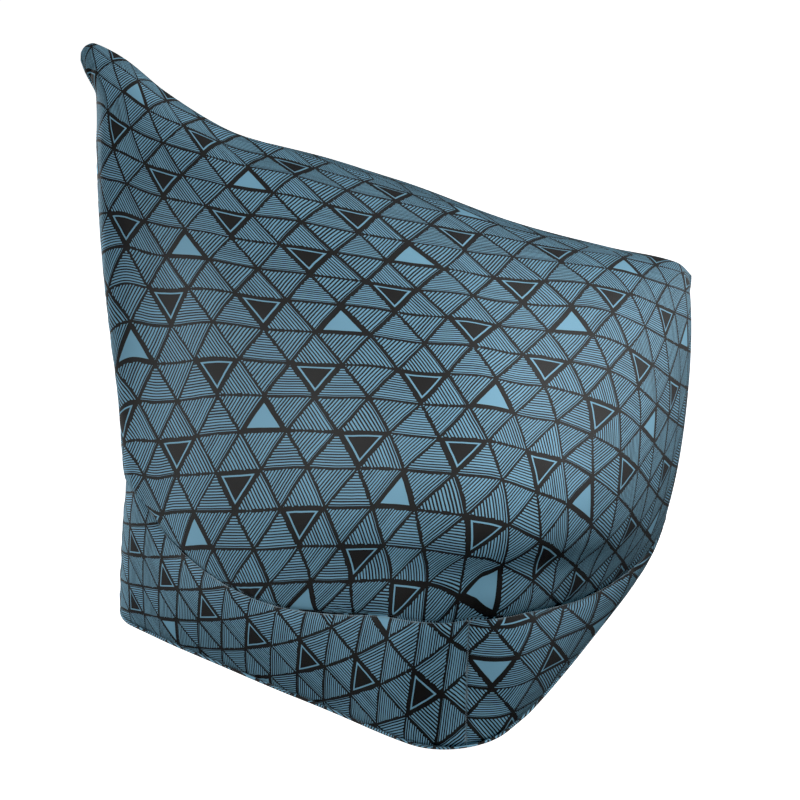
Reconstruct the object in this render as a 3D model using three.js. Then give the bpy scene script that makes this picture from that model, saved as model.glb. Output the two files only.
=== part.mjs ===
// A filled bean bag cover in the shape of a lounger: a tall pinched back, a low front and a boxed base.
// Millimetres, +Z up. The front points along +X, and the origin is the middle of the underside.
import * as THREE from "three";

// The base is a square standing on its corner: one corner is the back, one the front.
const BASE_SIDE = 600;
const HALF_DIAGONAL = BASE_SIDE / Math.SQRT2;
const HALF_ROUND = 2 * BASE_SIDE;
const CLOTH = 3;
const GAP = 0.3;

// Corner radii of the base square, on the floor and where the band meets the main panel.
const FLOOR_RADII = { back: 40, side: 100, front: 150 };
const WALL_RADII = { back: 62, side: 62, front: 45 };

// A place round the right-hand side is a share of the way from the back corner (0) to the front one (1).
const SIDE_CORNER = 0.505;

// How far the filled band swells between two corners, and the share of the way over which it starts.
const BAND_SWELL = 10;
const SWELL_START = 0.1;

// The seam between band and main panel: its height, how far it is drawn in from the base outline (or
// stands out, below 0), and how far the band's lower edge is lifted off the floor.
const SEAM_ROWS = [
  { at: 0.0, height: 226, drawnIn: 20, lift: 0 },
  { at: 0.05, height: 204, drawnIn: 15, lift: 0 },
  { at: 0.1, height: 164, drawnIn: 6, lift: 0 },
  { at: 0.18, height: 134, drawnIn: -8, lift: 0 },
  { at: 0.26, height: 130, drawnIn: -12, lift: 0 },
  { at: 0.34, height: 152, drawnIn: -8, lift: 0 },
  { at: 0.42, height: 178, drawnIn: 4, lift: 2 },
  { at: 0.505, height: 192, drawnIn: 20, lift: 4 },
  { at: 0.56, height: 176, drawnIn: 8, lift: 1 },
  { at: 0.61, height: 150, drawnIn: -2, lift: 0 },
  { at: 0.7, height: 109, drawnIn: -12, lift: 0 },
  { at: 0.81, height: 76, drawnIn: -22, lift: 0 },
  { at: 0.9, height: 66, drawnIn: -26, lift: 4 },
  { at: 0.96, height: 92, drawnIn: -14, lift: 14 },
  { at: 1.0, height: 130, drawnIn: 4, lift: 24 },
];

// The main panel: where each strip of it ends on the ridge, and the handles of the curve that puffs it
// out between seam and ridge. bulge and rise carry it out and up from the seam, and crown, sweep and
// drop hold it level, forward and below the ridge.
const BODY_ROWS = [
  { at: 0.0, ridgeX: -380, ridgeZ: 799, bulge: -4, rise: 170, crown: 0, sweep: 22, drop: 100 },
  { at: 0.03, ridgeX: -362, ridgeZ: 800, bulge: 14, rise: 180, crown: 36, sweep: 8, drop: 50 },
  { at: 0.065, ridgeX: -333, ridgeZ: 781, bulge: 28, rise: 205, crown: 60, sweep: 0, drop: 16 },
  { at: 0.12, ridgeX: -290, ridgeZ: 735, bulge: 36, rise: 235, crown: 98, sweep: 0, drop: 0 },
  { at: 0.22, ridgeX: -215, ridgeZ: 690, bulge: 44, rise: 262, crown: 160, sweep: 0, drop: 0 },
  { at: 0.31, ridgeX: -147, ridgeZ: 664, bulge: 66, rise: 256, crown: 192, sweep: 0, drop: 0 },
  { at: 0.4, ridgeX: -72, ridgeZ: 634, bulge: 122, rise: 232, crown: 212, sweep: 0, drop: 0 },
  { at: 0.51, ridgeX: 30, ridgeZ: 585, bulge: 184, rise: 215, crown: 222, sweep: 0, drop: 0 },
  { at: 0.66, ridgeX: 170, ridgeZ: 528, bulge: 142, rise: 200, crown: 200, sweep: 0, drop: 0 },
  { at: 0.82, ridgeX: 304, ridgeZ: 489, bulge: 86, rise: 190, crown: 146, sweep: 2, drop: 0 },
  { at: 0.95, ridgeX: 392, ridgeZ: 467, bulge: 38, rise: 180, crown: 78, sweep: 8, drop: 6 },
  { at: 1.0, ridgeX: 414, ridgeZ: 446, bulge: 0, rise: 150, crown: 0, sweep: 14, drop: 30 },
];

// The pinch at each side corner, where the main panel is gathered into the seam.
const PINCH = { depth: 9, halfWidth: 0.014, reach: 0.22 };

// How finely the surface is divided: steps in each stretch of the outline, up the main panel and the band.
const STEPS = { backCorner: 4, backWall: 16, sideCorner: 8, frontWall: 12, frontCorner: 4 };
const MAIN_STEPS = 22;
const BAND_STEPS = 7;
// The underside lies flat inside this share of its outline, and turns up to its edge outside it.
const FLAT_SHARE = 0.84;
// Points closer than this are the same corner of a body.
const ROUNDING = 1e-4;

const COLOURS = { cloth: 0x4d6f85 };

// Reads one column of a table at any place, along a smooth curve through its rows.
function readTable(rows, name, place) {
  let row = 0;
  while (row < rows.length - 2 && place >= rows[row + 1].at) row += 1;
  const slope = (index) => {
    const before = rows[Math.max(index - 1, 0)];
    const after = rows[Math.min(index + 1, rows.length - 1)];
    return (after[name] - before[name]) / (after.at - before.at);
  };
  const from = rows[row];
  const to = rows[row + 1];
  const span = to.at - from.at;
  const t = (place - from.at) / span;
  return (
    from[name] * (2 * t ** 3 - 3 * t ** 2 + 1) +
    slope(row) * span * (t ** 3 - 2 * t ** 2 + t) +
    to[name] * (3 * t ** 2 - 2 * t ** 3) +
    slope(row + 1) * span * (t ** 3 - t ** 2)
  );
}

// The lengths of the five stretches of half an outline, from back corner to front corner.
function stretches(radii) {
  return [
    (radii.back * Math.PI) / 4,
    BASE_SIDE - radii.back - radii.side,
    (radii.side * Math.PI) / 2,
    BASE_SIDE - radii.side - radii.front,
    (radii.front * Math.PI) / 4,
  ];
}

// A point of the rounded square and its outward direction, on the right-hand side.
function outlineAt(place, radii) {
  const lengths = stretches(radii);
  const toSide = lengths[0] + lengths[1] + lengths[2] / 2;
  const fromSide = lengths[2] / 2 + lengths[3] + lengths[4];
  let left =
    place <= SIDE_CORNER
      ? (place / SIDE_CORNER) * toSide
      : toSide + ((place - SIDE_CORNER) / (1 - SIDE_CORNER)) * fromSide;
  const corners = [
    { centre: [-HALF_DIAGONAL + radii.back * Math.SQRT2, 0], radius: radii.back, start: Math.PI },
    { centre: [0, -HALF_DIAGONAL + radii.side * Math.SQRT2], radius: radii.side, start: 1.25 * Math.PI },
    { centre: [HALF_DIAGONAL - radii.front * Math.SQRT2, 0], radius: radii.front, start: 1.75 * Math.PI },
  ];
  const onCorner = (corner, length, along) => {
    const angle = corner.start + length / corner.radius;
    const normal = [Math.cos(angle), Math.sin(angle)];
    const x = corner.centre[0] + corner.radius * normal[0] - along * normal[1];
    const y = corner.centre[1] + corner.radius * normal[1] + along * normal[0];
    return { x, y, normal };
  };
  if (left <= lengths[0]) return onCorner(corners[0], left, 0);
  left -= lengths[0];
  if (left <= lengths[1]) return onCorner(corners[0], lengths[0], left);
  left -= lengths[1];
  if (left <= lengths[2]) return onCorner(corners[1], left, 0);
  left -= lengths[2];
  if (left <= lengths[3]) return onCorner(corners[1], lengths[2], left);
  return onCorner(corners[2], left - lengths[3], 0);
}

// The places round one side at which strips are made, closer together in the corners.
function placesRound() {
  const lengths = stretches(WALL_RADII);
  const toSide = lengths[0] + lengths[1] + lengths[2] / 2;
  const fromSide = lengths[2] / 2 + lengths[3] + lengths[4];
  const counts = Object.values(STEPS);
  const places = [0];
  let passed = 0;
  counts.forEach((count, stretch) => {
    for (let step = 1; step <= count; step += 1) {
      const length = passed + (lengths[stretch] * step) / count;
      const before = (length / toSide) * SIDE_CORNER;
      const beyond = SIDE_CORNER + ((length - toSide) / fromSide) * (1 - SIDE_CORNER);
      places.push(length <= toSide ? before : beyond);
    }
    passed += lengths[stretch];
  });
  places[places.length - 1] = 1;
  return places;
}

// How far the band's lower edge is off the floor.
function liftAt(place) {
  return Math.max(0, readTable(SEAM_ROWS, "lift", place));
}

// The direction in which the filling pushes a strip: it turns evenly from the back round to the front.
function pushDirection(place) {
  const share = place <= SIDE_CORNER ? place / SIDE_CORNER / 2 : 1 - (1 - place) / (1 - SIDE_CORNER) / 2;
  const angle = Math.PI * (1 + share);
  return new THREE.Vector3(Math.cos(angle), Math.sin(angle), 0);
}

// How far the pinch draws the cloth in at a place, for a fade of 1 at the seam and 0 clear of it.
function pinchAt(place, fade) {
  const aside = (place - SIDE_CORNER) / PINCH.halfWidth;
  return PINCH.depth * Math.exp(-aside * aside) * fade * fade;
}

// A point on the main panel: height 0 is the seam with the band, 1 the ridge.
function mainPoint(place, height) {
  const read = (name) => readTable(BODY_ROWS, name, place);
  const foot = outlineAt(place, WALL_RADII);
  const drawnIn = readTable(SEAM_ROWS, "drawnIn", place);
  const outward = new THREE.Vector3(foot.normal[0], foot.normal[1], 0);
  const seam = new THREE.Vector3(foot.x, foot.y, readTable(SEAM_ROWS, "height", place));
  seam.addScaledVector(outward, -drawnIn);
  const ridge = new THREE.Vector3(read("ridgeX"), 0, read("ridgeZ"));
  const lower = seam.clone().addScaledVector(pushDirection(place), read("bulge"));
  lower.z += read("rise");
  const upper = ridge.clone().add(new THREE.Vector3(read("sweep"), -read("crown"), -read("drop")));
  const point = new THREE.CubicBezierCurve3(seam, lower, upper, ridge).getPoint(height);
  const fade = Math.max(0, 1 - height / PINCH.reach);
  return point.addScaledVector(outward, -pinchAt(place, fade));
}

// A point on the band, set in from its outer face: height 0 is its lower edge, 1 the seam. The band turns
// from the floor's outline to the wall's early, swells in the middle and is drawn in towards the seam.
function bandPoint(place, height, inward) {
  const floor = outlineAt(place, FLOOR_RADII);
  const wall = outlineAt(place, WALL_RADII);
  const blend = 1 - (1 - height) ** 3;
  const toCorner = Math.min(place, Math.abs(place - SIDE_CORNER), 1 - place) / SWELL_START;
  const share = Math.min(toCorner, 1);
  const swell = 4 * height * (1 - height) * BAND_SWELL * share * (2 - share);
  const drawnIn = readTable(SEAM_ROWS, "drawnIn", place) * height ** 2;
  const out = swell - drawnIn - pinchAt(place, height) - inward;
  const low = liftAt(place) + CLOTH + GAP;
  const high = readTable(SEAM_ROWS, "height", place) - GAP;
  return new THREE.Vector3(
    floor.x + (wall.x - floor.x) * blend + wall.normal[0] * out,
    floor.y + (wall.y - floor.y) * blend + wall.normal[1] * out,
    low + (high - low) * height,
  );
}

// A closed body from a list of triangles, each three points in order round its outward face. Points
// closer than the rounding are one.
function bodyFrom(triangles) {
  const index = [];
  const positions = [];
  const known = new Map();
  const indexOf = (point) => {
    const key = point.map((value) => Math.round(value / ROUNDING)).join(" ");
    if (!known.has(key)) {
      known.set(key, positions.length / 3);
      positions.push(...point);
    }
    return known.get(key);
  };
  for (const triangle of triangles) {
    const [a, b, c] = triangle.map((point) => indexOf([point.x, point.y, point.z]));
    if (a !== b && b !== c && c !== a) index.push(a, b, c);
  }
  const geometry = new THREE.BufferGeometry();
  geometry.setAttribute("position", new THREE.Float32BufferAttribute(positions, 3));
  geometry.setIndex(index);
  geometry.computeVertexNormals();
  return geometry;
}

// The triangles of a grid of points, grid[strip][step], facing along strip x step.
function gridTriangles(grid) {
  const triangles = [];
  for (let strip = 0; strip + 1 < grid.length; strip += 1) {
    for (let step = 0; step + 1 < grid[strip].length; step += 1) {
      const a = grid[strip][step];
      const b = grid[strip + 1][step];
      const c = grid[strip + 1][step + 1];
      const d = grid[strip][step + 1];
      triangles.push([a, b, c], [a, c, d]);
    }
  }
  return triangles;
}

// The same triangles facing the other way.
function turned(triangles) {
  return triangles.map(([a, b, c]) => [a, c, b]);
}

// The same triangles on the left-hand side.
function mirrored(triangles) {
  const flip = (point) => new THREE.Vector3(point.x, -point.y, point.z);
  return turned(triangles).map((triangle) => triangle.map(flip));
}

// The underside of the cloth from its middle out to its edge, raised by some height.
function undersidePoints(place, raised) {
  const edge = outlineAt(place, FLOOR_RADII);
  return [
    new THREE.Vector3(0, 0, raised),
    new THREE.Vector3(edge.x * FLAT_SHARE, edge.y * FLAT_SHARE, raised),
    new THREE.Vector3(edge.x, edge.y, raised + liftAt(place)),
  ];
}

// The whole numbers from 0 to a count, as shares of it.
function shares(count) {
  return Array.from({ length: count + 1 }, (_, step) => step / count);
}

// The main panel with its filling: from the middle of the underside, up inside the band, out over the
// band's top edge to the seam, and up to the ridge.
function mainCover() {
  const inside = CLOTH + GAP;
  const strips = placesRound().map((place) => {
    const [middle, flatEdge] = undersidePoints(place, inside);
    const core = shares(BAND_STEPS).map((height) => bandPoint(place, height, inside));
    core[BAND_STEPS].z += GAP;
    const outside = shares(MAIN_STEPS).map((height) => mainPoint(place, height));
    return [middle, flatEdge, ...core, ...outside];
  });
  const half = gridTriangles(strips);
  return bodyFrom([...half, ...mirrored(half)]);
}

// One strip of the boxed base, between two places on the right-hand side.
function bandStrip(from, to) {
  const inner = placesRound().filter((place) => place > from && place < to);
  const trim = GAP / 2 / HALF_ROUND;
  const sections = [from + trim, ...inner, to - trim].map((place) => {
    const outer = shares(BAND_STEPS).map((height) => bandPoint(place, height, 0));
    const back = shares(BAND_STEPS).map((height) => bandPoint(place, height, CLOTH));
    return { outer, back };
  });
  const edgeFace = (step) => gridTriangles(sections.map(({ outer, back }) => [back[step], outer[step]]));
  const endFace = ({ outer, back }) => gridTriangles([back, outer]);
  return [
    ...gridTriangles(sections.map((section) => section.outer)),
    ...turned(gridTriangles(sections.map((section) => section.back))),
    ...edgeFace(0),
    ...turned(edgeFace(BAND_STEPS)),
    ...endFace(sections[0]),
    ...turned(endFace(sections[sections.length - 1])),
  ];
}

// The panel underneath.
function bottomPanel() {
  const below = placesRound().map((place) => undersidePoints(place, 0));
  const above = placesRound().map((place) => undersidePoints(place, CLOTH));
  const rim = below.map((points, strip) => [points[2], above[strip][2]]);
  const half = [...gridTriangles(below), ...turned(gridTriangles(above)), ...gridTriangles(rim)];
  return bodyFrom([...half, ...mirrored(half)]);
}

function piece(name, geometry) {
  const material = new THREE.MeshStandardMaterial({ color: COLOURS.cloth, roughness: 0.9, metalness: 0 });
  const mesh = new THREE.Mesh(geometry, material);
  mesh.name = name;
  return mesh;
}

const cover = new THREE.Group();
const backStrip = bandStrip(0, SIDE_CORNER);
const frontStrip = bandStrip(SIDE_CORNER, 1);
cover.add(
  piece("main_cover", mainCover()),
  piece("band_right_back", bodyFrom(backStrip)),
  piece("band_right_front", bodyFrom(frontStrip)),
  piece("band_left_front", bodyFrom(mirrored(frontStrip))),
  piece("band_left_back", bodyFrom(mirrored(backStrip))),
  piece("bottom_panel", bottomPanel()),
);

export default cover;
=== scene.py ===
import math
from functools import partial

import bmesh
import bpy
import numpy as np
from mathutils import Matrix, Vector


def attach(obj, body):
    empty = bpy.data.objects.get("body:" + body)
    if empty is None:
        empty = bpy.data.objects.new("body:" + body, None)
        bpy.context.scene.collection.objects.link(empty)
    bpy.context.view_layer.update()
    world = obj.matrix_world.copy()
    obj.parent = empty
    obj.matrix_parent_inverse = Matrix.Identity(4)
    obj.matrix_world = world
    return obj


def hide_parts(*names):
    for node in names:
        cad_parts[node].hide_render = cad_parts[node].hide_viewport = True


bl_info = {
    "name": "Lounger Bean Bag Cover",
    "version": (1, 0, 0),
    "blender": (4, 5, 0),
    "location": "View3D > Sidebar > Bean Bag",
    "description": "Sews and fills a lounger-shaped bean bag cover in cloth printed with hatched triangles",
    "category": "Add Mesh",
}

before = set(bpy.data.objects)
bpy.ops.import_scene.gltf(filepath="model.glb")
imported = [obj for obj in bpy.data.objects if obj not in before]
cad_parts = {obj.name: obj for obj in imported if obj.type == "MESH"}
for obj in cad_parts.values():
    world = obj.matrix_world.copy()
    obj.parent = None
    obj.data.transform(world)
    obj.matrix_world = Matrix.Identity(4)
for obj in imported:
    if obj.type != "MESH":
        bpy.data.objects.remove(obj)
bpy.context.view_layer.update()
MM = 0.001
TRIANGLE_HEIGHT = math.sqrt(3) / 2

# In millimetres: the side of a printed triangle, the thickness of the cloth that shows, the gap between
# two panels where they are sewn together, the gap between the core and the cloth outside it, and the
# width over which cloth turns in at a seam.
TRIANGLE_SIDE = 60.0
CLOTH_SHOWN = 2.0
SEWN_GAP = 0.3
CORE_GAP = 0.6
TURN_WIDTH = 5
# The distance that plain cloth is given as its distance from a seam.
FAR_FROM_SEAM = 100.0
# The groove at a band's lower edge as a share of the upper one, and the most that either may be, which
# is less than the cloth's thickness.
FOOT_GROOVE = 0.6
GROOVE_LIMIT = 1.6

# The underside lies flat inside this share of its outline, and turns up to its edge outside it. The core
# ends at the second share, inside the band.
FLAT_SHARE = 0.84
CORE_SHARE = 0.985

# The mesh: how much closer its places lie at the corners and how far from a corner that reaches, a power
# that draws its rows towards the seam, the rows of the band and of the core, the share trimmed off a
# strip's ends, how close to them no other place lies, and how close points are welded, in metres.
CORNER_CROWDING = 1.2
CORNER_REACH = 0.05
ROW_CROWDING = 1.15
BAND_ROWS = 28
CORE_ROWS = 8
STRIP_TRIM = 0.0002
END_CLEARANCE = 0.001
WELD = 0.00002


def table(columns, *rows):
    """A table as one dictionary for each row, with the columns named in one string."""
    return [dict(zip(columns.split(), row)) for row in rows]


# The base is a square standing on its corner. A place round one side is a share of the way from the back
# corner, 0, to the front one, 1. These are its corner radii in millimetres, on the floor and where the
# band meets the main panel.
FLOOR_RADII = {"back": 48, "side": 92, "front": 150}
WALL_RADII = {"back": 62, "side": 110, "front": 45}
SIDE_CORNER = 0.505

# The seam between band and main panel, in millimetres: its height, how far it is drawn in from the base
# outline, or stands out where below 0, how far the band's lower edge is lifted off the floor, how far the
# filling swells the middle of the band, and how far it spreads its lower edge on the floor. The heights
# from 0.26 to 0.81 were solved in another script, so that the seam lies where it does in the photo.
SEAM_ROWS = table(
    "at height drawn_in lift swell foot",
    (0.0, 226, 22, 3, 0, 3),
    (0.05, 204, 17, 0, 5, 3),
    (0.1, 164, 7, 0, 10, 5),
    (0.18, 142, -8, 0, 11, 5),
    (0.26, 138, -12, 0, 11, 5),
    (0.34, 156, -10, 0, 11, 3),
    (0.42, 182, -5, 2, 9, 5),
    (0.505, 193, -10, 4, 0, 0),
    (0.56, 180, -9, 1, 10, 0),
    (0.61, 155, -12, 0, 15, 6),
    (0.7, 114, -19, 0, 16, 7),
    (0.81, 83, -24, 0, 14, 4),
    (0.9, 76, -24, 4, 10, 2),
    (0.96, 102, -14, 14, 6, 0),
    (1.0, 136, 4, 24, 0, 0),
)

# The main panel, in millimetres: the x and z where each strip of it ends on the ridge, and the handles of
# the curve that puffs it out between seam and ridge. bulge and rise lead it out and up from the seam, and
# crown, sweep and drop hold it out from, in front of and below the ridge. bulge, rise and crown from
# 0.065 to 0.82 were fitted to the photo's shading in another script, and some were changed by hand since.
BODY_ROWS = table(
    "at x z bulge rise crown sweep drop",
    (0.0, -381, 780, -4, 170, 0, 21, 88),
    (0.01, -380, 790, 2, 174, 14, 18, 80),
    (0.02, -375, 797, 8, 177, 26, 13, 64),
    (0.032, -364, 799, 14, 180, 36, 8, 48),
    (0.065, -331, 780, 10, 202, 43, 0, 16),
    (0.12, -289, 740, 13, 229, 70, 0, 0),
    (0.22, -215, 688, 27, 257, 141, 0, 0),
    (0.31, -147, 661, 58, 251, 184, 0, 0),
    (0.4, -72, 631, 112, 240, 210, 0, 0),
    (0.51, 30, 585, 161, 236, 230, 0, 0),
    (0.66, 170, 528, 136, 208, 202, 0, 0),
    (0.82, 304, 489, 80, 185, 147, 2, 0),
    (0.95, 394, 467, 25, 179, 74, 2, 6),
    (1.0, 418, 446, -8, 150, 0, 6, 30),
)

# How the print lies on the main panel, counted in triangles from one crossing of its lines: along a row
# and down the rows, at the seam, just above it, low, in the middle, high and on the ridge. These values
# were fitted by least squares in another script, to crossings measured in the photo.
PRINT_HEIGHTS = {"seam": 0.0, "hem": 0.1, "low": 0.3, "middle": 0.5, "high": 0.75, "ridge": 1.0}
PRINT_ACROSS = table(
    "at seam hem low middle high ridge",
    (0.0, -6.55, -6.5, -6.55, -6.8, -7.6, -8.65),
    (0.06, -5.6, -5.6, -5.55, -5.55, -5.75, -6.35),
    (0.12, -4.55, -4.55, -4.65, -4.55, -4.45, -4.65),
    (0.2, -3.1, -3.25, -3.45, -3.4, -3.2, -3.1),
    (0.3, -1.1, -1.6, -1.95, -2.1, -1.8, -1.75),
    (0.4, 1.0, 0.5, -0.3, -0.6, -0.5, -0.3),
    (0.455, 2.25, 1.9, 1.0, 0.4, 0.4, 0.4),
    (0.505, 3.55, 3.2, 2.25, 1.6, 1.1, 1.1),
    (0.55, 4.4, 4.0, 3.6, 2.55, 1.85, 1.6),
    (0.6, 5.4, 5.0, 4.7, 3.4, 2.55, 2.25),
    (0.7, 7.6, 7.2, 6.25, 4.9, 3.85, 3.5),
    (0.8, 9.7, 9.15, 8.0, 6.45, 5.2, 4.6),
    (0.9, 11.7, 11.0, 9.65, 8.3, 6.95, 5.9),
    (1.0, 13.6, 12.85, 11.45, 10.15, 8.65, 7.1),
)
PRINT_DOWN = table(
    "at seam hem low middle high ridge",
    (0.0, 9.5, 8.4, 6.2, 4.15, 1.8, -0.45),
    (0.06, 10.45, 9.25, 6.95, 4.4, 0.8, -1.65),
    (0.12, 11.3, 10.2, 7.6, 4.85, 1.05, -1.7),
    (0.2, 12.2, 10.95, 8.4, 5.65, 1.75, -1.05),
    (0.3, 12.9, 11.6, 9.15, 6.2, 2.35, -0.65),
    (0.4, 12.9, 11.9, 9.65, 6.75, 2.7, -0.65),
    (0.455, 12.75, 12.0, 9.9, 6.95, 3.0, -0.3),
    (0.505, 12.3, 11.75, 9.9, 7.15, 3.3, 0.05),
    (0.55, 12.05, 11.3, 9.55, 7.05, 3.4, 0.4),
    (0.6, 11.65, 10.85, 9.2, 7.05, 3.65, 0.75),
    (0.7, 10.75, 9.95, 8.35, 6.65, 4.05, 1.0),
    (0.8, 9.75, 8.95, 7.3, 5.7, 3.7, 1.4),
    (0.9, 8.7, 7.95, 6.4, 4.9, 3.05, 1.1),
    (1.0, 7.65, 6.95, 5.5, 4.1, 2.45, 0.85),
)
# The line of the print that the far side is turned over: its height at the first crossing, and its slope.
RIDGE_LINE = {"start": -0.2, "slope": 0.34}

# How the print lies on the two strips of one side of the band, where the cloth is turned round: its place
# across and down the print on the floor, and at BAND_PRINT_TOP millimetres above it. These values were
# fitted in the same way.
BAND_PRINT_TOP = 200
BAND_PRINT = {
    "back": table(
        "at across_low across_high down_low down_high",
        (0.0, 4.45, 2.1, 3.15, 7.0),
        (0.1, 0.9, -0.8, 2.6, 6.3),
        (0.2, -1.6, -3.0, 1.85, 5.4),
        (0.3, -3.8, -4.9, 0.9, 4.2),
        (0.4, -5.9, -6.8, -0.2, 2.7),
        (0.505, -8.2, -9.05, -1.35, 0.95),
    ),
    "front": table(
        "at across_low across_high down_low down_high",
        (0.505, 2.3, -0.95, 4.75, 2.85),
        (0.62, 2.65, -0.65, 2.95, 0.65),
        (0.74, 2.4, -0.45, 1.3, -1.25),
        (0.87, 2.45, 0.1, -0.35, -3.25),
        (1.0, 2.45, 0.65, -2.05, -5.3),
    ),
}

# How far the back edge of the main panel stands out behind its plain curve, by its height off the floor,
# in millimetres: it hollows under the tip, which stands back as a blunt ear.
BACK_EDGE_ROWS = table(
    "at out",
    (226, 5),
    (340, 4),
    (440, 8),
    (560, 9),
    (650, 5),
    (700, 0),
    (740, -5),
    (765, 1),
    (780, 2),
    (800, 0),
)

# The back edge's share of the way round.
BACK_EDGE_REACH = 0.07

# Folds in the main panel, each from one place and height to another: half its width, and how far it
# sinks, or stands out where below 0, in millimetres. The third was fitted to the photo's shading. They
# are measured on a panel of about this size, round one side and up to the ridge, and fade in over the
# first millimetres above the seam.
PANEL_ROUND = 1200
PANEL_RISE = 650
FOLD_START = 10
FOLD_ROWS = table(
    "from to width depth",
    ((0.3, 0.11), (0.75, 0.11), 46, 17),
    ((0.33, 0.3), (0.72, 0.32), 55, -5),
    ((0.0, 0.3), (0.45, 0.3), 110, 8),
    ((0.1, 0.91), (0.42, 0.94), 30, 6),
    ((0.0, 0.87), (0.07, 0.97), 9, 3),
    ((0.505, -0.02), (0.512, 0.17), 5, 2),
)

# The pinch at a side corner: half its width round the side, and its height up the main panel, as shares.
PINCH_WIDTH = 0.014
PINCH_HEIGHT = 0.22

# The small puckers that the thread draws in beside a seam, in millimetres: their length and depth, how
# far from the seam they start and fade, and the lengths over which they wander and grow uneven.
PUCKER = {"length": 29, "depth": 1.76, "start": 3, "reach": 13, "wander": 137, "uneven": 31}
# How far they wander, as a share of their length, and how uneven they are, as a share of their depth.
PUCKER_WANDER = 0.35
PUCKER_UNEVEN = 0.35

# The printed triangles, as shares of their height: where the ink of a solid one starts from its edge,
# from where to where the light line of a framed one runs, and how uneven borders and hatched lines are.
SOLID_FROM = 0.1
FRAME_FROM = 0.088
FRAME_TO = 0.13
BORDER_UNEVEN = 0.03
LINE_UNEVEN = 0.1
# Rows and columns are counted from here, a multiple of every repeat, so that no count is below 0.
COUNT_START = 1200

# The camera: its lens and sensor in millimetres, its place in metres, and how far it is turned from +Y
# towards +X and tipped down, in degrees. It was fitted to corners measured in the photo.
CAMERA = {"lens": 60.75, "sensor": 36, "place": (-0.3581, -1.64199, 1.12026), "turn": 12.34, "dip": 26.13}

# The studio lights, in degrees to the right of the camera and up from the floor, with their distance and
# size, and the height they are aimed at, in metres. They and their powers started from a fit to the
# photo's tones and were changed.
LIGHT_ROWS = table(
    "name side up away size aim",
    ("key", 60, 46, 1.4, 0.8, 0.33),
    ("front", 2, 14, 1.4, 0.8, 0.33),
    ("left", -100, 8, 3.2, 2.2, 0.38),
    ("right", 115, 8, 3.2, 2.2, 0.38),
)
# The light level that the picture shows as black.
BLACK_POINT = 0.012
# The floor, in metres: half its side, and how far it lies below the cover, so that the two don't touch.
FLOOR_REACH = 6.0
FLOOR_DROP = 0.0005


def number(name, description, default, unit="NONE"):
    """A setting that is a number, with its unit."""
    return bpy.props.FloatProperty(name=name, description=description, default=default, unit=unit)


def count(name, description, default):
    """A setting that is a whole number."""
    return bpy.props.IntProperty(name=name, description=description, default=default)


def colour(name, description, default):
    """A setting that is a colour."""
    return bpy.props.FloatVectorProperty(
        name=name, description=description, subtype="COLOR", default=default
    )


class CoverShape(bpy.types.PropertyGroup):
    base_side: number("Base side", "Side of the square base, from corner to corner", 0.6, "LENGTH")
    cloth: number("Cloth", "Thickness of the solids of the band and the bottom panel", 0.003, "LENGTH")
    seam_groove: number("Seam groove", "How far cloth turns in where it is sewn", 0.003, "LENGTH")
    pinch: number("Corner pinch", "How far cloth is drawn in at a side corner", 0.004, "LENGTH")
    strips: count("Strips", "Strips of the mesh round one side", 230)
    rows: count("Rows", "Rows of the mesh from the seam to the ridge", 120)


class CoverCloth(bpy.types.PropertyGroup):
    ink: colour("Print colour", "Light blue of the printed lines", (0.245, 0.5, 0.67))
    ground: colour("Ground colour", "Near black between the lines", (0.034, 0.0335, 0.0335))
    thread: colour("Thread colour", "Pale thread and worn edges", (0.36, 0.47, 0.53))
    lines: number("Lines", "Printed lines across one triangle", 13.5)
    border: number("Border", "Dark border of a triangle, as a share of its height", 0.027)


class StudioLight(bpy.types.PropertyGroup):
    key: number("Key light", "Power of the soft light high on the right", 9.4, "POWER")
    front: number("Front light", "Power of the low soft light in front", 6.0, "POWER")
    left: number("Left light", "Power of the large low light at the left", 98.0, "POWER")
    right: number("Right light", "Power of the large low light behind on the right", 35.0, "POWER")
    room: number("Room light", "Strength of the even light from all round", 0.02)
    floor_glow: number("Floor glow", "Light given off by the floor itself, which keeps it pale", 1.0)


def read_curve(positions, values, at):
    """Values at any positions, on a smooth curve through the given ones."""
    positions = np.asarray(positions, float)
    values = np.asarray(values, float)
    at = np.asarray(at, float)
    last = len(positions) - 1
    before = np.maximum(np.arange(last + 1) - 1, 0)
    after = np.minimum(np.arange(last + 1) + 1, last)
    slopes = (values[after] - values[before]) / (positions[after] - positions[before])
    row = np.clip(np.searchsorted(positions, at, side="right") - 1, 0, last - 1)
    span = positions[row + 1] - positions[row]
    t = (at - positions[row]) / span
    return (
        values[row] * (2 * t**3 - 3 * t**2 + 1)
        + slopes[row] * span * (t**3 - 2 * t**2 + t)
        + values[row + 1] * (3 * t**2 - 2 * t**3)
        + slopes[row + 1] * span * (t**3 - t**2)
    )


def read_table(rows, name, place):
    """One column of a table at any place."""
    return read_curve([row["at"] for row in rows], [row[name] for row in rows], place)


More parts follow.
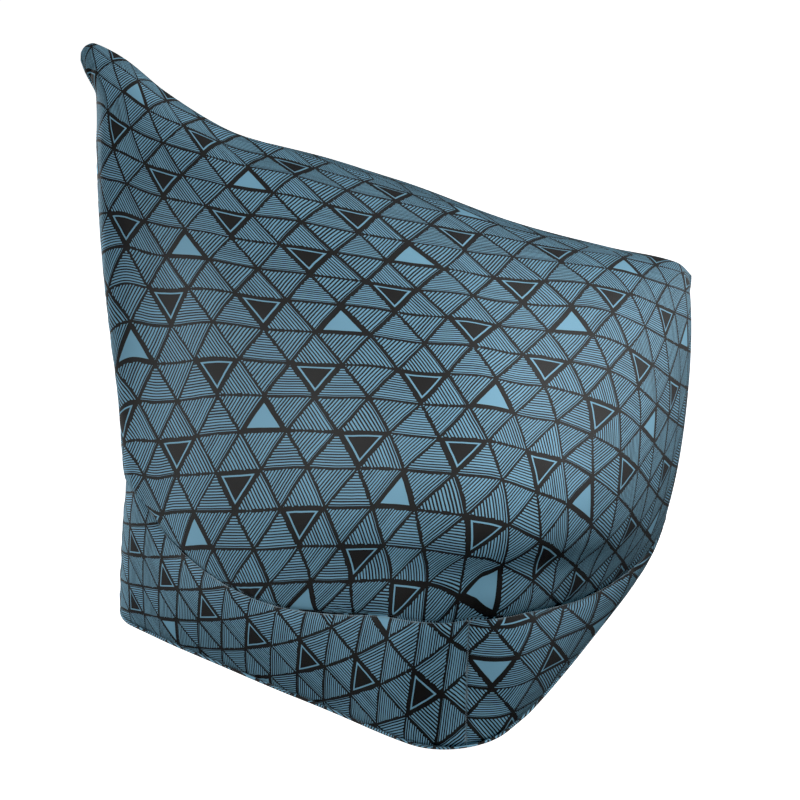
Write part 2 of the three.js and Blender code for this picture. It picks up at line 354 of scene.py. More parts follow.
def outline(place, radii, side):
    """Points of the rounded base square and their outward directions, in millimetres."""
    place = np.asarray(place, float)
    root = math.sqrt(2)
    half = side / root
    lengths = [
        radii["back"] * math.pi / 4,
        side - radii["back"] - radii["side"],
        radii["side"] * math.pi / 2,
        side - radii["side"] - radii["front"],
        radii["front"] * math.pi / 4,
    ]
    to_side = lengths[0] + lengths[1] + lengths[2] / 2
    from_side = lengths[2] / 2 + lengths[3] + lengths[4]
    beyond = (place - SIDE_CORNER) / (1 - SIDE_CORNER)
    passed = np.where(place <= SIDE_CORNER, place / SIDE_CORNER * to_side, to_side + beyond * from_side)
    ends = np.cumsum(lengths)
    turned = np.pi + np.minimum(passed, ends[0]) / radii["back"]
    turned += np.clip(passed - ends[1], 0, lengths[2]) / radii["side"]
    turned += np.clip(passed - ends[3], 0, lengths[4]) / radii["front"]
    straight_back = np.clip(passed - ends[0], 0, lengths[1])
    straight_front = np.clip(passed - ends[2], 0, lengths[3])
    normal = np.stack([np.cos(turned), np.sin(turned)], -1)
    first = passed <= ends[1]
    second = (passed > ends[1]) & (passed <= ends[3])
    radius = np.where(first, radii["back"], np.where(second, radii["side"], radii["front"]))
    front_centre = half - radii["front"] * root
    centre_x = np.where(first, -half + radii["back"] * root, np.where(second, 0, front_centre))
    centre_y = np.where(second, -half + radii["side"] * root, 0)
    along = np.where(first, straight_back, np.where(second, straight_front, 0))
    x = centre_x + radius * normal[:, 0] - along * normal[:, 1]
    y = centre_y + radius * normal[:, 1] + along * normal[:, 0]
    return np.stack([x, y], -1), normal


def foot_outline(places, side):
    """Points of the lower edge of the band, where the filling has spread it, in millimetres."""
    floor, normal = outline(places, FLOOR_RADII, side)
    return floor + normal * read_table(SEAM_ROWS, "foot", places)[:, None]


def pinch_at(place, fade, depth):
    """How far the pinch at the side corner draws the cloth in, for a fade of 1 at the seam."""
    return depth * np.exp(-(((place - SIDE_CORNER) / PINCH_WIDTH) ** 2)) * fade**2


def main_points(places, heights, shape):
    """Points of the right-hand half of the main panel, strip by strip, in millimetres."""
    side = shape.base_side / MM
    foot, normal = outline(places, WALL_RADII, side)
    seam = np.zeros((len(places), 3))
    seam[:, :2] = foot - normal * read_table(SEAM_ROWS, "drawn_in", places)[:, None]
    seam[:, 2] = read_table(SEAM_ROWS, "height", places)
    share = np.where(
        places <= SIDE_CORNER,
        places / SIDE_CORNER / 2,
        1 - (1 - places) / (1 - SIDE_CORNER) / 2,
    )
    angle = math.pi * (1 + share)
    push = np.stack([np.cos(angle), np.sin(angle), np.zeros_like(angle)], -1)
    column = {name: read_table(BODY_ROWS, name, places) for name in BODY_ROWS[0] if name != "at"}
    ridge = np.stack([column["x"], np.zeros_like(places), column["z"]], -1)
    lower = seam + push * column["bulge"][:, None]
    lower[:, 2] += column["rise"]
    upper = ridge + np.stack([column["sweep"], -column["crown"], -column["drop"]], -1)
    t = heights[None, :, None]
    points = (
        seam[:, None] * (1 - t) ** 3
        + 3 * lower[:, None] * t * (1 - t) ** 2
        + 3 * upper[:, None] * t**2 * (1 - t)
        + ridge[:, None] * t**3
    )
    fade = np.maximum(0, 1 - heights / PINCH_HEIGHT)[None, :]
    drawn = pinch_at(places[:, None], fade, shape.pinch / MM)
    points[..., :2] -= normal[:, None] * drawn[..., None]
    return points


def lift_at(places):
    """How far the band's lower edge is off the floor."""
    return np.maximum(0, read_table(SEAM_ROWS, "lift", places))


def band_points(places, heights, inward, shape):
    """Points of the right-hand half of the band, set in from its outer face, in millimetres."""
    side = shape.base_side / MM
    floor = foot_outline(places, side)
    wall, normal = outline(places, WALL_RADII, side)
    h = heights[None, :]
    blend = 1 - (1 - h) ** 3
    swell = 4 * h * (1 - h) * read_table(SEAM_ROWS, "swell", places)[:, None]
    drawn = read_table(SEAM_ROWS, "drawn_in", places)[:, None] * h**2
    out = swell - drawn - pinch_at(places[:, None], h, shape.pinch / MM) - inward
    low = (lift_at(places) + shape.cloth / MM + SEWN_GAP)[:, None]
    high = (read_table(SEAM_ROWS, "height", places) - SEWN_GAP)[:, None]
    points = np.zeros((len(places), len(heights), 3))
    points[..., :2] = floor[:, None] + (wall - floor)[:, None] * blend[..., None]
    points[..., :2] += normal[:, None] * out[..., None]
    points[..., 2] = low + (high - low) * h
    return points


def grid_normals(points):
    """Outward directions over a grid of points that runs along the side and up it."""
    along = np.gradient(points, axis=0)
    up = np.gradient(points, axis=1)
    normals = np.cross(along, up)
    return normals / np.maximum(np.linalg.norm(normals, axis=-1, keepdims=True), 1e-9)


def fold_depth(places, heights, rows):
    """How far the folds sink the main panel over a grid, in millimetres."""
    s = places[:, None] * PANEL_ROUND
    t = heights[None, :] * PANEL_RISE
    depth = np.zeros((len(places), len(heights)))
    for row in rows:
        start = np.array(row["from"]) * (PANEL_ROUND, PANEL_RISE)
        end = np.array(row["to"]) * (PANEL_ROUND, PANEL_RISE)
        line = end - start
        length = np.linalg.norm(line)
        line /= length
        along = ((s - start[0]) * line[0] + (t - start[1]) * line[1]) / length
        aside = -(s - start[0]) * line[1] + (t - start[1]) * line[0]
        # A fold runs on past both ends by an eighth of its length while it fades.
        passed = np.clip((along + 1 / 8) / (1 + 2 / 8), 0, 1)
        taper = np.sin(np.pi * passed) ** 1.5
        depth += row["depth"] * np.exp(-((aside / row["width"]) ** 2)) * taper
    return depth


def pucker(along, distance):
    """How far the puckers beside a seam raise the cloth, by the way along the seam and from it."""
    wander = PUCKER_WANDER * np.sin(along * 2 * np.pi / PUCKER["wander"])
    wave = np.sin(2 * np.pi * (along / PUCKER["length"] + wander))
    strength = 1 - PUCKER_UNEVEN + PUCKER_UNEVEN * np.sin(along / PUCKER["uneven"])
    fade = np.exp(-distance / PUCKER["reach"]) * (1 - np.exp(-distance / PUCKER["start"]))
    return PUCKER["depth"] * wave * strength * fade


def seam_distance(points, sewn_top):
    """For a grid of cloth: the way along its seams, and how far each point is from the nearest seam."""
    steps = np.linalg.norm(np.diff(points, axis=0), axis=-1)
    across = np.concatenate([np.zeros((1, points.shape[1])), np.cumsum(steps, axis=0)])
    rises = np.linalg.norm(np.diff(points, axis=1), axis=-1)
    up = np.concatenate([np.zeros((points.shape[0], 1)), np.cumsum(rises, axis=1)], axis=1)
    distance = np.minimum(up, np.minimum(across, across[-1:] - across))
    if sewn_top:
        distance = np.minimum(distance, up[:, -1:] - up)
    return np.stack([across[:, :1] + up, distance], -1)


def turned_in(distance):
    """How far cloth is turned in at a distance from its seam, from 1 on the seam down to 0."""
    return np.exp(-((distance / TURN_WIDTH) ** 2))


def main_surface(places, heights, shape):
    """The right-hand half of the main panel with its folds, its seam groove and its closed edges."""
    points = main_points(places, heights, shape)
    near_back = np.exp(-((places / BACK_EDGE_REACH) ** 2))[:, None]
    level = np.clip(points[..., 2], BACK_EDGE_ROWS[0]["at"], BACK_EDGE_ROWS[-1]["at"])
    points[..., 0] -= read_table(BACK_EDGE_ROWS, "out", level) * near_back
    normals = grid_normals(points)
    normals[:, -1] *= np.array([1, 0, 1])
    normals[[0, -1]] *= np.array([1, 0, 1])
    rise = np.cumsum(np.linalg.norm(np.diff(points, axis=1), axis=-1), axis=1)
    rise = np.concatenate([np.zeros((len(places), 1)), rise], axis=1)
    sunk = fold_depth(places, heights, FOLD_ROWS) * np.minimum(rise / FOLD_START, 1)
    groove = shape.seam_groove / MM * turned_in(rise)
    sewn = seam_distance(points, False)
    raised = pucker(sewn[..., 0], sewn[..., 1])
    points = points - normals * (sunk + groove - raised)[..., None]
    points[:, -1, 1] = 0
    points[[0, -1], :, 1] = 0
    return points


def mesh_from_grids(name, grids):
    """One object from several grids of points in millimetres, each with its print coordinates and, where
    it is sewn cloth that shows, its way along the seams and its distance from them."""
    points, faces, prints, seams = [], [], [], []
    for grid, print_at, turned, *sewn in grids:
        start = len(points)
        strips, rows = grid.shape[:2]
        points.extend((grid.reshape(-1, 3) * MM).tolist())
        index = start + np.arange(strips * rows).reshape(strips, rows)
        quads = np.stack([index[:-1, :-1], index[1:, :-1], index[1:, 1:], index[:-1, 1:]], -1)
        quads = quads.reshape(-1, 4)
        if turned:
            quads = quads[:, ::-1]
        faces.extend(quads.tolist())
        flat = print_at.reshape(-1, 2)
        corners = quads.reshape(-1) - start
        prints.extend(flat[corners].tolist())
        plain = np.full((len(flat), 2), FAR_FROM_SEAM)
        seams.extend((sewn[0].reshape(-1, 2) if sewn else plain)[corners].tolist())
    mesh = bpy.data.meshes.new(name)
    mesh.from_pydata(points, [], faces)
    layer = mesh.uv_layers.new(name="print")
    layer.data.foreach_set("uv", np.asarray(prints, float).reshape(-1))
    layer = mesh.uv_layers.new(name="seams")
    layer.data.foreach_set("uv", np.asarray(seams, float).reshape(-1))
    piece = bpy.data.objects.new(name, mesh)
    bpy.context.scene.collection.objects.link(piece)
    sewn = bmesh.new()
    sewn.from_mesh(mesh)
    bmesh.ops.remove_doubles(sewn, verts=sewn.verts, dist=WELD)
    bmesh.ops.dissolve_degenerate(sewn, edges=sewn.edges, dist=WELD / 2)
    sewn.to_mesh(mesh)
    sewn.free()
    mesh.polygons.foreach_set("use_smooth", [True] * len(mesh.polygons))
    return piece


def mirrored(grid):
    """The same points on the left-hand side."""
    return grid * np.array([1, -1, 1])


def print_on_main(places, heights):
    """Print coordinates over the right-hand half of the main panel."""
    result = np.zeros((len(places), len(heights), 2))
    names = list(PRINT_HEIGHTS)
    for axis, rows in enumerate((PRINT_ACROSS, PRINT_DOWN)):
        columns = np.array([read_table(rows, name, places) for name in names])
        for strip in range(len(places)):
            result[strip, :, axis] = read_curve(list(PRINT_HEIGHTS.values()), columns[:, strip], heights)
    return result


def turned_over(near, heights):
    """Print coordinates of the far side, where the same cloth runs on over the ridge."""
    slope = RIDGE_LINE["slope"]
    direction = np.array([1, slope]) / math.hypot(1, slope)
    across = np.array([-direction[1], direction[0]])
    anchor = np.array([0, RIDGE_LINE["start"]])
    far = near - 2 * ((near - anchor) @ across)[..., None] * across
    return far + (near[:, -1:] - far[:, -1:]) * (heights**2)[None, :, None]


def print_on_band(places, points, rows):
    """Print coordinates over one strip of the band."""
    share = points[..., 2] / BAND_PRINT_TOP
    laid = []
    for axis in ("across", "down"):
        low = read_table(rows, f"{axis}_low", places)[:, None]
        high = read_table(rows, f"{axis}_high", places)[:, None]
        laid.append(low + (high - low) * share)
    return np.stack(laid, -1)


def feed(tree, socket, value):
    """Links a socket to the output of another node, or sets it to a plain value."""
    if isinstance(value, bpy.types.NodeSocket):
        tree.links.new(value, socket)
    else:
        socket.default_value = value


def value_node(tree, operation, *values):
    """One calculation in a node tree, on numbers and on the outputs of other nodes."""
    node = tree.nodes.new("ShaderNodeMath")
    node.operation = operation
    for socket, value in zip(node.inputs, values):
        feed(tree, socket, value)
    return node.outputs[0]


def colour_node(tree, share, first, second, blend="MIX"):
    """A colour mixed from two others, or blended in another way."""
    node = tree.nodes.new("ShaderNodeMix")
    node.data_type = "RGBA"
    node.blend_type = blend
    sockets = {socket.identifier: socket for socket in node.inputs}
    feed(tree, sockets["Factor_Float"], share)
    feed(tree, sockets["A_Color"], first)
    feed(tree, sockets["B_Color"], second)
    return next(socket for socket in node.outputs if socket.identifier == "Result_Color")


def noise_node(tree, vector, scale, detail):
    """A noise texture over a vector."""
    node = tree.nodes.new("ShaderNodeTexNoise")
    node.inputs["Scale"].default_value = scale
    node.inputs["Detail"].default_value = detail
    tree.links.new(vector, node.inputs["Vector"])
    return node


def group_node(tree, name, **values):
    """One of the node groups in a material, with its inputs fed."""
    node = tree.nodes.new("ShaderNodeGroup")
    node.node_tree = bpy.data.node_groups[name]
    for label, value in values.items():
        feed(tree, node.inputs[label], value)
    return node.outputs


def uv_node(tree, name):
    """The coordinates of one UV map."""
    node = tree.nodes.new("ShaderNodeUVMap")
    node.uv_map = name
    return node.outputs[0]


def new_group(name, inputs, outputs):
    """An empty node group with named sockets, and its input and output nodes."""
    group = bpy.data.node_groups.new(name, "ShaderNodeTree")
    for label, kind, default in inputs:
        socket = group.interface.new_socket(name=label, in_out="INPUT", socket_type=kind)
        if default is not None:
            socket.default_value = default
    for label, kind in outputs:
        group.interface.new_socket(name=label, in_out="OUTPUT", socket_type=kind)
    return group, group.nodes.new("NodeGroupInput"), group.nodes.new("NodeGroupOutput")


def triangle_print_group():
    """The printed pattern: rows of triangles, most of them hatched one of three ways, some dark with a thin
    light outline and some solid light blue. It puts out how much light ink lies on the cloth."""
    group, given, made = new_group(
        "Hatched triangles",
        [
            ("Print", "NodeSocketVector", None),
            ("Lines", "NodeSocketFloat", 13.5),
            ("Border", "NodeSocketFloat", 0.027),
            ("Line width", "NodeSocketFloat", 0.5),
            ("Hand", "NodeSocketFloat", 0.02),
        ],
        [("Ink", "NodeSocketFloat")],
    )
    calc = partial(value_node, group)
    waver = noise_node(group, given.outputs["Print"], 3.1, 1.0)
    parts = group.nodes.new("ShaderNodeSeparateXYZ")
    group.links.new(given.outputs["Print"], parts.inputs[0])
    waves = group.nodes.new("ShaderNodeSeparateColor")
    group.links.new(waver.outputs["Color"], waves.inputs[0])
    hand = given.outputs["Hand"]
    x, y = [
        calc("ADD", laid, calc("MULTIPLY", calc("SUBTRACT", wave, 0.5), hand))
        for laid, wave in zip(parts.outputs[:2], waves.outputs[:2])
    ]

    # A row and a slanting column, and how far along each the point is.
    row_at = calc("ADD", calc("DIVIDE", y, TRIANGLE_HEIGHT), COUNT_START)
    column_at = calc("ADD", x, calc("MULTIPLY", row_at, 0.5))
    column_at = calc("ADD", column_at, COUNT_START / 2)
    row = calc("FLOOR", row_at)
    column = calc("FLOOR", column_at)
    down = calc("SUBTRACT", row_at, row)
    over = calc("SUBTRACT", column_at, column)
    upright = calc("GREATER_THAN", down, over)
    hanging = calc("SUBTRACT", 1, upright)

    def choose(first, second, pick):
        """The first value where pick is 1, the second where it is 0."""
        kept = calc("MULTIPLY", second, calc("SUBTRACT", 1, pick))
        return calc("ADD", calc("MULTIPLY", first, pick), kept)

    # Distances from the three edges of the triangle, as shares of its height.
    from_level = choose(calc("SUBTRACT", 1, down), down, upright)
    from_left = choose(over, calc("SUBTRACT", over, down), upright)
    from_right = choose(calc("SUBTRACT", down, over), calc("SUBTRACT", 1, over), upright)
    edge = calc("MINIMUM", from_level, calc("MINIMUM", from_left, from_right))

    # Which of the repeats of four columns, two rows and three rows the triangle is in.
    fourth = calc("MODULO", column, 4)
    odd_row = calc("MODULO", row, 2)
    even_row = calc("SUBTRACT", 1, odd_row)

    def is_number(value, wanted):
        """1 where the value is the wanted whole number, else 0."""
        return calc("COMPARE", value, wanted, 0.1)

    second_column = is_number(fourth, 2)
    first_column = is_number(fourth, 0)
    outer = calc("ADD", first_column, is_number(fourth, 3))
    turn_up = calc("MODULO", calc("ADD", row, calc("DIVIDE", calc("SUBTRACT", column, 2), 4)), 3)
    turn_down = calc("MODULO", calc("ADD", row, calc("DIVIDE", calc("ADD", column, 2), 4)), 3)
    level_normally = calc("SUBTRACT", 1, calc("ABSOLUTE", calc("SUBTRACT", even_row, outer)))
    level = choose(is_number(turn_up, 2), level_normally, second_column)
    solid = calc("MULTIPLY", calc("MULTIPLY", upright, second_column), is_number(turn_up, 0))
    dark_first = calc("MULTIPLY", first_column, even_row)
    dark_second = calc("MULTIPLY", second_column, is_number(turn_down, 0))
    framed = calc("MULTIPLY", hanging, calc("ADD", dark_first, dark_second))

    # The hatching, drawn parallel to one edge of the triangle.
    across_lines = choose(choose(from_level, from_right, level), from_right, upright)
    counted = calc("MULTIPLY", across_lines, given.outputs["Lines"])
    line_number = calc("FLOOR", counted)
    seed = group.nodes.new("ShaderNodeCombineXYZ")
    for socket, source in zip(seed.inputs, (line_number, column, calc("ADD", row, upright))):
        group.links.new(source, socket)
    uneven = group.nodes.new("ShaderNodeTexWhiteNoise")
    uneven.noise_dimensions = "3D"
    group.links.new(seed.outputs[0], uneven.inputs["Vector"])
    loose = calc("SUBTRACT", uneven.outputs["Value"], 0.5)
    beside = calc("ABSOLUTE", calc("SUBTRACT", calc("SUBTRACT", counted, line_number), 0.5))
    half_width = calc("MULTIPLY", given.outputs["Line width"], 0.5)
    half_width = calc("ADD", half_width, calc("MULTIPLY", loose, LINE_UNEVEN))
    drawn = calc("LESS_THAN", beside, half_width)
    widened = calc("MULTIPLY", calc("ADD", loose, 0.4), BORDER_UNEVEN)
    border = calc("ADD", given.outputs["Border"], widened)
    inside = calc("GREATER_THAN", edge, border)
    hatch = calc("MULTIPLY", drawn, inside)

    solid_ink = calc("MULTIPLY", solid, calc("GREATER_THAN", edge, SOLID_FROM))
    past_start = calc("GREATER_THAN", edge, FRAME_FROM)
    outline_ink = calc("MULTIPLY", past_start, calc("LESS_THAN", edge, FRAME_TO))
    framed_ink = calc("MULTIPLY", framed, outline_ink)
    plain = calc("SUBTRACT", 1, calc("ADD", solid, framed))
    ink = calc("ADD", calc("MULTIPLY", hatch, plain), calc("ADD", solid_ink, framed_ink))
    group.links.new(ink, made.inputs["Ink"])


def weave_group():
    """A plain weave: threads that pass over and under each other, as a height and a shade."""
    group, given, made = new_group(
        "Plain weave",
        [("Cloth", "NodeSocketVector", None), ("Threads", "NodeSocketFloat", 70.0)],
        [("Height", "NodeSocketFloat"), ("Shade", "NodeSocketFloat")],
    )
    lowest_shade = 0.92
    shade_range = 0.12
    calc = partial(value_node, group)
    parts = group.nodes.new("ShaderNodeSeparateXYZ")
    group.links.new(given.outputs["Cloth"], parts.inputs[0])
    turn = calc("MULTIPLY", given.outputs["Threads"], math.pi)
    warp_at = calc("MULTIPLY", parts.outputs[0], turn)
    weft_at = calc("MULTIPLY", parts.outputs[1], turn)
    warp = calc("ABSOLUTE", calc("SINE", warp_at))
    weft = calc("ABSOLUTE", calc("SINE", weft_at))
    over = calc("MULTIPLY", calc("SINE", warp_at), calc("SINE", weft_at))
    picked = calc("GREATER_THAN", over, 0)
    under = calc("MULTIPLY", weft, calc("SUBTRACT", 1, picked))
    height = calc("ADD", calc("MULTIPLY", warp, picked), under)
    group.links.new(height, made.inputs["Height"])
    shade = calc("ADD", lowest_shade, calc("MULTIPLY", height, shade_range))
    group.links.new(shade, made.inputs["Shade"])


def sewn_edge_group():
    """The cloth beside a seam: stitches, the shade of the turned-in edge, and threads worn pale. The
    stitch and the two reaches are in millimetres, and half_stitch is a share of the stitch."""
    group, given, made = new_group(
        "Sewn edge",
        [
            ("Seams", "NodeSocketVector", None),
            ("Where", "NodeSocketVector", None),
            ("Stitch", "NodeSocketFloat", 3.4),
        ],
        [("Thread", "NodeSocketFloat"), ("Shade", "NodeSocketFloat"), ("Worn", "NodeSocketFloat")],
    )
    half_stitch = 0.33
    thread_reach = 0.9
    worn_reach = 3.2
    worn_above = 0.56
    darkest = 0.72
    calc = partial(value_node, group)
    parts = group.nodes.new("ShaderNodeSeparateXYZ")
    group.links.new(given.outputs["Seams"], parts.inputs[0])
    along, distance = parts.outputs[0], parts.outputs[1]
    stitch_at = calc("FRACT", calc("DIVIDE", along, given.outputs["Stitch"]))
    in_stitch = calc("LESS_THAN", calc("ABSOLUTE", calc("SUBTRACT", stitch_at, 0.5)), half_stitch)
    thread = calc("MULTIPLY", in_stitch, calc("LESS_THAN", distance, thread_reach))
    flat = calc("MINIMUM", calc("DIVIDE", distance, TURN_WIDTH), 1.0)
    fluff = noise_node(group, given.outputs["Where"], 75.0, 2.0)
    near = calc("SUBTRACT", 1, calc("MINIMUM", calc("DIVIDE", distance, worn_reach), 1.0))
    worn = calc("MULTIPLY", calc("GREATER_THAN", fluff.outputs["Fac"], worn_above), near)
    group.links.new(thread, made.inputs["Thread"])
    # Shade is painted shade: the colour darkens towards the seam, where the cloth turns in.
    group.links.new(calc("ADD", darkest, calc("MULTIPLY", flat, 1 - darkest)), made.inputs["Shade"])
    group.links.new(worn, made.inputs["Worn"])


def cloth_material(name, colours, roughness):
    """Matt woven cloth with the printed triangles on it."""
    material = bpy.data.materials.new(name)
    material.use_nodes = True
    tree = material.node_tree
    shader = tree.nodes["Principled BSDF"]
    calc = partial(value_node, tree)
    # The cloth's patchiness in tone and in roughness, and how pale thread and worn cloth are.
    patch_tone = 0.12
    patch_roughness = 0.1
    thread_paleness = 0.55
    worn_paleness = 0.4
    laid = uv_node(tree, "print")
    where = tree.nodes.new("ShaderNodeTexCoord").outputs["Object"]
    pattern = group_node(tree, "Hatched triangles", Print=laid, Lines=colours.lines, Border=colours.border)
    weave = group_node(tree, "Plain weave", Cloth=laid)
    edge = group_node(tree, "Sewn edge", Seams=uv_node(tree, "seams"), Where=where)
    patches = noise_node(tree, where, 9.0, 3.0).outputs["Fac"]

    dyed = colour_node(tree, pattern["Ink"], (*colours.ground, 1), (*colours.ink, 1))
    tone = calc("ADD", 1 - patch_tone / 2, calc("MULTIPLY", patches, patch_tone))
    # The sewn edge's Shade darkens the colour beside the seams as painted shade.
    tone = calc("MULTIPLY", calc("MULTIPLY", tone, weave["Shade"]), edge["Shade"])
    grey = tree.nodes.new("ShaderNodeCombineColor")
    for socket in grey.inputs:
        tree.links.new(tone, socket)
    shaded = colour_node(tree, 1.0, dyed, grey.outputs[0], "MULTIPLY")
    bare = calc("MULTIPLY", edge["Thread"], thread_paleness)
    bare = calc("ADD", bare, calc("MULTIPLY", edge["Worn"], worn_paleness))
    tree.links.new(colour_node(tree, bare, shaded, (*colours.thread, 1)), shader.inputs["Base Color"])
    rough = calc("ADD", roughness, calc("MULTIPLY", patches, patch_roughness))
    tree.links.new(rough, shader.inputs["Roughness"])
    shader.inputs["Sheen Weight"].default_value = 0.02
    shader.inputs["Sheen Roughness"].default_value = 0.5
    shader.inputs["Specular IOR Level"].default_value = 0.3
    bump = tree.nodes.new("ShaderNodeBump")
    bump.inputs["Distance"].default_value = 0.0002
    bump.inputs["Strength"].default_value = 0.4
    tree.links.new(weave["Height"], bump.inputs["Height"])
    tree.links.new(bump.outputs[0], shader.inputs["Normal"])
    return material


def spaced_places(strips):
    """Places round one side, closer together at the corners."""
    even = np.linspace(0, 1, strips + 1)
    corners = np.array([0.0, SIDE_CORNER, 1.0])
    close = sum(np.exp(-(((even - corner) / CORNER_REACH) ** 2)) for corner in corners)
    density = 1 + CORNER_CROWDING * close
    summed = np.concatenate([[0], np.cumsum((density[1:] + density[:-1]) / 2)])
    places = np.interp(even * summed[-1], summed, even)
    places[np.abs(places - SIDE_CORNER).argmin()] = SIDE_CORNER
    return places


def dressed(piece, nodes, material):
    """Puts a piece on its body in place of its CAD nodes, in its finish."""
    piece.data.materials.append(material)
    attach(piece, "root")
    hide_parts(*nodes)
    return piece


class MESH_OT_main_cover(bpy.types.Operator):
    """Sews the main panel over its filling"""

    bl_idname = "beanbag.main_cover"
    bl_label = "Main cover"

    def execute(self, context):
        shape = context.scene.cover_shape
        places = spaced_places(shape.strips)
        heights = np.linspace(0, 1, shape.rows + 1) ** ROW_CROWDING
        points = main_surface(places, heights, shape)
        near = print_on_main(places, heights)
        sewn = seam_distance(points, False)
        # The core closes the panel below, inside the band and above the bottom panel.
        inside = shape.cloth / MM + CORE_GAP
        core = band_points(places, np.linspace(0, 1, CORE_ROWS + 1), inside, shape)
        edge = foot_outline(places, shape.base_side / MM)
        under = np.zeros((len(places), 3, 3))
        under[:, :, :2] = edge[:, None] * np.array([0, FLAT_SHARE, CORE_SHARE])[None, :, None]
        under[..., 2] = inside
        under[:, 2, 2] += lift_at(places)
        core = np.concatenate([under, core[:, 1:], points[:, :1]], axis=1)
        core_print = np.repeat(near[:, :1], core.shape[1], axis=1)
        grids = [
            (points, near, False, sewn),
            (mirrored(points), turned_over(near, heights), True, sewn),
            (core, core_print, False),
            (mirrored(core), core_print, True),
        ]
        piece = mesh_from_grids("main_cover_filled", grids)
        dressed(piece, ["main_cover"], bpy.data.materials["woven_print"])
        return {"FINISHED"}


def band_strip(node, on_left, places, print_rows, shape):
    """One strip of the band, between two corners of the base."""
    heights = np.linspace(0, 1, BAND_ROWS + 1)
    outer = band_points(places, heights, 0.0, shape)
    back = band_points(places, heights, CLOTH_SHOWN, shape)
    rise = outer[..., 2] - outer[:, :1, 2]
    drop = outer[:, -1:, 2] - outer[..., 2]
    groove = shape.seam_groove / MM * (turned_in(drop) + FOOT_GROOVE * turned_in(rise))
    sewn = seam_distance(outer, True)
    raised = pucker(sewn[..., 0], sewn[..., 1])
    outer = outer - grid_normals(outer) * (np.minimum(groove, GROOVE_LIMIT) - raised)[..., None]
    laid = print_on_band(places, outer, print_rows)

    if on_left:
        outer, back = mirrored(outer), mirrored(back)
    grids = [
        (outer, laid, on_left, sewn),
        (back, laid, not on_left),
        (np.stack([back[:, 0], outer[:, 0]], 1), laid[:, :2], on_left),
        (np.stack([outer[:, -1], back[:, -1]], 1), laid[:, -2:], on_left),
        (np.stack([back[0], outer[0]], 0), np.stack([laid[0], laid[0]], 0), on_left),
        (np.stack([outer[-1], back[-1]], 0), np.stack([laid[-1], laid[-1]], 0), on_left),
    ]
    piece = mesh_from_grids(f"{node}_cloth", grids)
    dressed(piece, [node], bpy.data.materials["woven_print"])


class MESH_OT_base_band(bpy.types.Operator):
    """Sews the four strips of the boxed base"""

    bl_idname = "beanbag.base_band"
    bl_label = "Base band"

    def execute(self, context):
        shape = context.scene.cover_shape
        all_places = spaced_places(shape.strips)
        spans = {"back": (0.0, SIDE_CORNER), "front": (SIDE_CORNER, 1.0)}
        for part, (start, end) in spans.items():
            inside = (all_places > start + END_CLEARANCE) & (all_places < end - END_CLEARANCE)
            inner = all_places[inside]
            places = np.concatenate([[start + STRIP_TRIM], inner, [end - STRIP_TRIM]])
            for side in ("right", "left"):
                band_strip(f"band_{side}_{part}", side == "left", places, BAND_PRINT[part], shape)
        return {"FINISHED"}


class MESH_OT_bottom_panel(bpy.types.Operator):
    """Sews the flat panel underneath"""

    bl_idname = "beanbag.bottom_panel"
    bl_label = "Bottom panel"

    def execute(self, context):
        shape = context.scene.cover_shape
        places = spaced_places(shape.strips)
        edge = foot_outline(places, shape.base_side / MM)
        # Rings of the mesh, closer together where the panel turns up.
        reach = np.concatenate([[0.0, 0.2, 0.4, 0.6, 0.75], np.linspace(FLAT_SHARE, 1, 5)])
        below = np.zeros((len(places), len(reach), 3))
        below[:, :, :2] = edge[:, None] * reach[None, :, None]
        turn_up = np.clip((reach - FLAT_SHARE) / (1 - FLAT_SHARE), 0, 1)
        below[..., 2] = lift_at(places)[:, None] * turn_up[None, :]
        above = below + np.array([0, 0, CLOTH_SHOWN])
        laid = below[..., :2] / TRIANGLE_SIDE
        rim = np.stack([below[:, -1], above[:, -1]], 1)
        rim_print = np.stack([laid[:, -1], laid[:, -1]], 1)
        right = [(below, laid, False), (above, laid, True), (rim, rim_print, False)]
        left = [(mirrored(grid), print_at, not turned) for grid, print_at, turned in right]
        piece = mesh_from_grids("bottom_panel_cloth", right + left)
        dressed(piece, ["bottom_panel"], bpy.data.materials["woven_print_underside"])
        return {"FINISHED"}


class MATERIAL_OT_printed_cloth(bpy.types.Operator):
    """Prints and weaves the cloth of the cover and of its underside"""

    bl_idname = "beanbag.printed_cloth"
    bl_label = "Printed cloth"

    def execute(self, context):
        colours = context.scene.cover_cloth
        triangle_print_group()
        weave_group()
        sewn_edge_group()
        cloth_material("woven_print", colours, 0.6)
        cloth_material("woven_print_underside", colours, 0.7)
        return {"FINISHED"}


def soft_light(row, power, camera_turn):
    """A large soft light that faces the middle of the cover."""
    lamp = bpy.data.lights.new(row["name"], "AREA")
    lamp.shape = "DISK"
    lamp.size = row["size"]
    lamp.energy = power
    light = bpy.data.objects.new(f"{row['name']}_light", lamp)
    side, up = math.radians(row["side"]) - camera_turn, math.radians(row["up"])
    toward = Vector((math.sin(side) * math.cos(up), -math.cos(side) * math.cos(up), math.sin(up)))
    light.location = Vector((0, 0, row["aim"])) + toward * row["away"]
    light.rotation_euler = (-toward).to_track_quat("-Z", "Y").to_euler()
    bpy.context.scene.collection.objects.link(light)


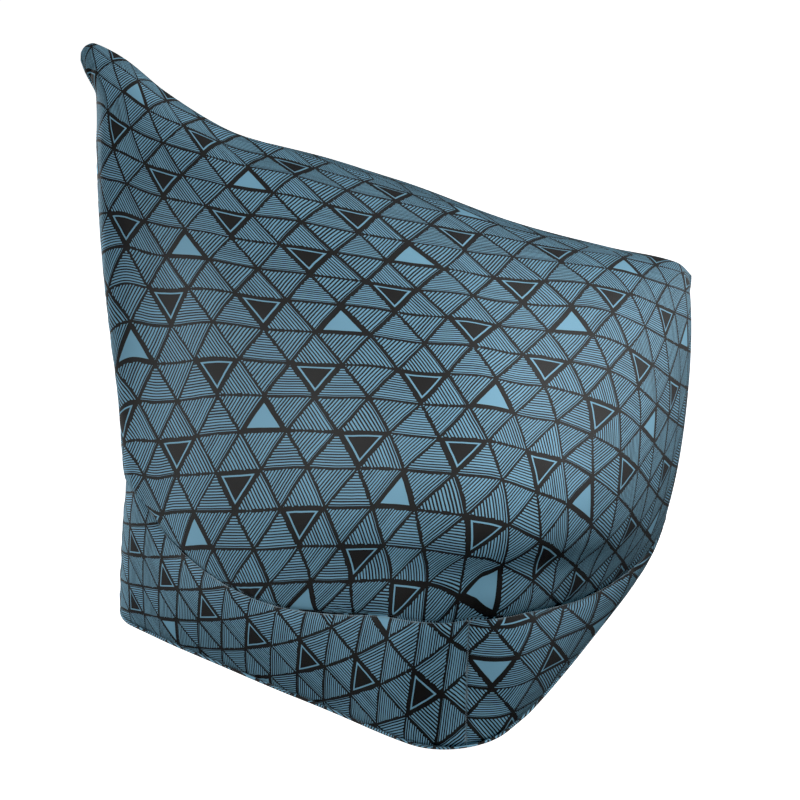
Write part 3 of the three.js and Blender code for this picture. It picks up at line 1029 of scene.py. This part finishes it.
class SCENE_OT_studio(bpy.types.Operator):
    """Sets the floor, the soft light and the camera"""

    bl_idname = "beanbag.studio"
    bl_label = "Studio"

    def execute(self, context):
        light = context.scene.studio_light
        turn = math.radians(CAMERA["turn"])
        dip = math.radians(CAMERA["dip"])
        camera = bpy.data.cameras.new("camera")
        camera.lens = CAMERA["lens"]
        camera.sensor_width = CAMERA["sensor"]
        viewer = bpy.data.objects.new("camera", camera)
        viewer.location = CAMERA["place"]
        gaze = Vector((math.sin(turn) * math.cos(dip), math.cos(turn) * math.cos(dip), -math.sin(dip)))
        viewer.rotation_euler = gaze.to_track_quat("-Z", "Y").to_euler()
        context.scene.collection.objects.link(viewer)
        context.scene.camera = viewer

        paint = bpy.data.materials.new("floor_paint")
        paint.use_nodes = True
        shader = paint.node_tree.nodes["Principled BSDF"]
        shader.inputs["Base Color"].default_value = (0.86, 0.86, 0.86, 1)
        shader.inputs["Roughness"].default_value = 0.9
        shader.inputs["Emission Color"].default_value = (1, 1, 1, 1)
        shader.inputs["Emission Strength"].default_value = light.floor_glow
        far = FLOOR_REACH
        corners = [(-far, -far, 0), (far, -far, 0), (far, far, 0), (-far, far, 0)]
        mesh = bpy.data.meshes.new("floor")
        mesh.from_pydata(corners, [], [(0, 1, 2, 3)])
        mesh.materials.append(paint)
        floor = bpy.data.objects.new("floor", mesh)
        floor.location = (0, 0, -FLOOR_DROP)
        context.scene.collection.objects.link(floor)
        # The floor's own light stays off the cover, which the lamps and the room light alone.
        floor.visible_diffuse = False
        floor.visible_glossy = False

        for row in LIGHT_ROWS:
            soft_light(row, getattr(light, row["name"]), turn)
        view = context.scene.view_settings
        view.view_transform = "Standard"
        view.use_curve_mapping = True
        view.curve_mapping.black_level = (BLACK_POINT, BLACK_POINT, BLACK_POINT)
        view.curve_mapping.update()

        # The world is white to the camera and gives the cover only the room light.
        world = context.scene.world or bpy.data.worlds.new("world")
        context.scene.world = world
        world.use_nodes = True
        tree = world.node_tree
        backdrop = tree.nodes["Background"]
        backdrop.inputs["Color"].default_value = (1, 1, 1, 1)
        seen = tree.nodes.new("ShaderNodeLightPath").outputs["Is Camera Ray"]
        strength = value_node(tree, "MAXIMUM", seen, light.room)
        tree.links.new(strength, backdrop.inputs["Strength"])
        return {"FINISHED"}


class VIEW3D_PT_bean_bag(bpy.types.Panel):
    """The cover's settings and the steps that make it"""

    bl_label = "Bean Bag Cover"
    bl_idname = "VIEW3D_PT_bean_bag"
    bl_space_type = "VIEW_3D"
    bl_region_type = "UI"
    bl_category = "Bean Bag"

    def draw(self, context):
        scene = context.scene
        for settings in (scene.cover_shape, scene.cover_cloth, scene.studio_light):
            for name in settings.bl_rna.properties.keys():
                if name not in ("rna_type", "name"):
                    self.layout.prop(settings, name)
        for operator in OPERATORS:
            self.layout.operator(operator.bl_idname)


SETTINGS = {"cover_shape": CoverShape, "cover_cloth": CoverCloth, "studio_light": StudioLight}
OPERATORS = (
    MATERIAL_OT_printed_cloth,
    MESH_OT_main_cover,
    MESH_OT_base_band,
    MESH_OT_bottom_panel,
    SCENE_OT_studio,
)


def register():
    for settings in SETTINGS.values():
        bpy.utils.register_class(settings)
    for name, settings in SETTINGS.items():
        setattr(bpy.types.Scene, name, bpy.props.PointerProperty(type=settings))
    for operator in OPERATORS:
        bpy.utils.register_class(operator)
    bpy.utils.register_class(VIEW3D_PT_bean_bag)


def unregister():
    bpy.utils.unregister_class(VIEW3D_PT_bean_bag)
    for operator in reversed(OPERATORS):
        bpy.utils.unregister_class(operator)
    for name in SETTINGS:
        delattr(bpy.types.Scene, name)
    for settings in SETTINGS.values():
        bpy.utils.unregister_class(settings)


def main():
    register()
    bpy.ops.beanbag.printed_cloth()
    bpy.ops.beanbag.main_cover()
    bpy.ops.beanbag.base_band()
    bpy.ops.beanbag.bottom_panel()
    bpy.ops.beanbag.studio()


if __name__ == "__main__":
    main()
